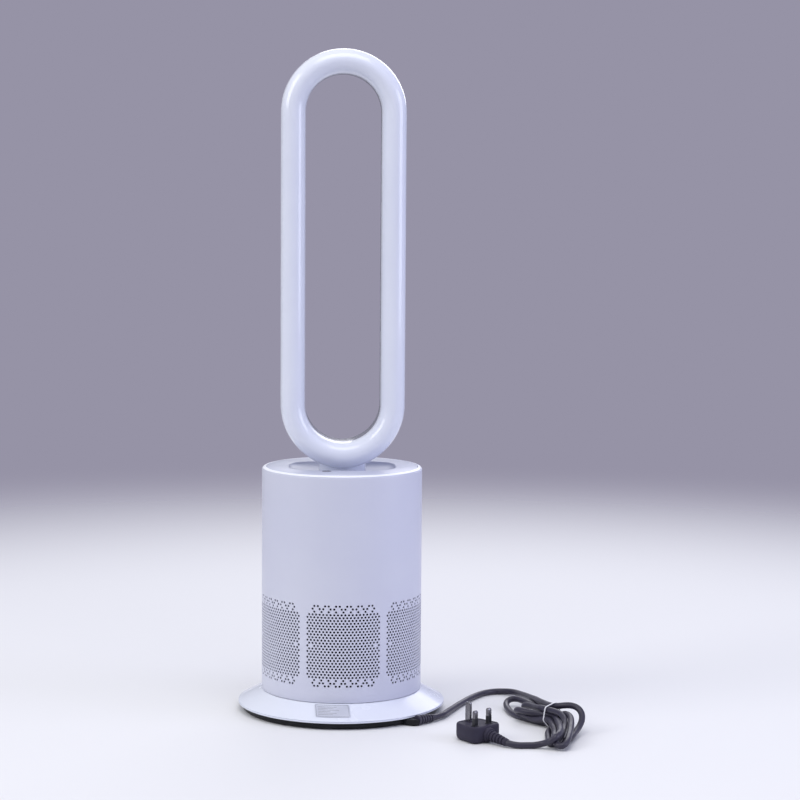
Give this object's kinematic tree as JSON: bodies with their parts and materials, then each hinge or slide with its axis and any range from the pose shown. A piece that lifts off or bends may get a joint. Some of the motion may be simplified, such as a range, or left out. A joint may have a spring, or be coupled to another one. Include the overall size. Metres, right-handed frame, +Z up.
{
  "type": "bladeless tower fan",
  "caption": "Bladeless floor-standing fan: round flanged base, drum body that turns on it, tall open air loop above, coiled mains lead with plug.",
  "frame": {"origin": "on the floor, on the turning axis of the drum", "axes": "+Z up; +Y the way the air leaves; +X to the right seen from the back"},
  "size_m": [0.414, 0.3594, 0.8056],
  "materials": {
    "black_plastic": "fine grained black moulding",
    "rubber": "matt black rubber",
    "gloss_white": "glossy cool white moulding",
    "satin_white": "satin cool white moulding",
    "steel": "plated steel",
    "nylon": "natural nylon",
    "cord_grey": "smooth flexible sheath",
    "label_silver": "bare silver foil",
    "grey_plastic": "fine grained grey moulding",
    "black_gloss": "polished black window",
    "board_green": "lacquered board",
    "black_switch": "black moulding",
    "filter_paper": "pleated paper",
    "brass": "turned brass",
    "motor_steel": "plated can",
    "throat_grey": "satin grey moulding",
    "tie_white": "white coated wire",
    "pin_metal": "nickel plated, with black sleeves on two"
  },
  "bodies": {
    "base": {"base_flange": "gloss_white", "base_pan": "black_plastic", "base_screw_1": "steel", "base_screw_2": "steel", "base_screw_3": "steel", "base_screw_4": "steel", "cord_gland": "black_plastic", "cord_hank": "cord_grey", "cord_lead": "cord_grey", "cord_strain_relief": "cord_grey", "cord_tail": "cord_grey", "cord_tie": "tie_white", "foot_1": "rubber", "foot_2": "rubber", "foot_3": "rubber", "foot_4": "rubber", "foot_5": "rubber", "inner_lead": "cord_grey", "oscillation_gear": "nylon", "pivot_post": "nylon", "plug_body": "cord_grey", "plug_pin_earth": "pin_metal", "plug_pin_live": "pin_metal", "plug_pin_neutral": "pin_metal", "plug_strain_relief": "cord_grey", "rating_plate": "label_silver", "slip_ring": "nylon"},
    "drum": {"drum_floor": "grey_plastic", "retaining_ring": "steel", "drum_shell": "satin_white", "touch_panel": "black_gloss", "display_board": "board_green", "top_cover_rear": "satin_white", "top_cover_front": "satin_white", "button_spring": "steel", "button_switch": "black_switch", "control_board": "board_green", "frame_column_1": "grey_plastic", "frame_column_2": "grey_plastic", "frame_column_3": "grey_plastic", "filter_media": "filter_paper", "filter_lower_cap": "grey_plastic", "filter_upper_cap": "grey_plastic", "blower_housing": "grey_plastic", "housing_gasket": "rubber", "diffuser": "grey_plastic", "blower_motor": "motor_steel", "motor_mount": "rubber", "oscillation_motor": "motor_steel", "neck_duct": "satin_white", "neck_seal": "rubber", "loop_rear_shell": "gloss_white", "loop_front_shell": "gloss_white", "loop_inner_duct": "throat_grey"},
    "impeller": {"impeller": "grey_plastic", "motor_shaft": "steel", "impeller_nut": "brass"},
    "pinion": {"pinion": "brass"},
    "button": {"power_button": "grey_plastic"}
  },
  "joints": [
    {"name": "oscillation", "type": "hinge", "parent": "base", "child": "drum", "pos_m": [0, 0, 0], "axis": [0, 0, 1], "range_deg": [-40, 40]},
    {"name": "blower_spin", "type": "hinge", "parent": "drum", "child": "impeller", "pos_m": [0, 0, 0], "axis": [0, 0, 1], "continuous": true},
    {"name": "pinion_spin", "type": "hinge", "parent": "drum", "child": "pinion", "pos_m": [0, 0.04235, 0], "axis": [0, 0, 1], "range_deg": [-100, 100]},
    {"name": "power_button_press", "type": "slide", "parent": "drum", "child": "button", "axis": [0, 0, -1], "range_m": [0, 0.0015], "stiffness_N_per_m": 900, "springref_m": -0.001, "deforming": ["button_spring"]}
  ],
  "couplings": [
    {"joint": "pinion_spin", "follows": "oscillation", "ratio": 2.5}
  ]
}
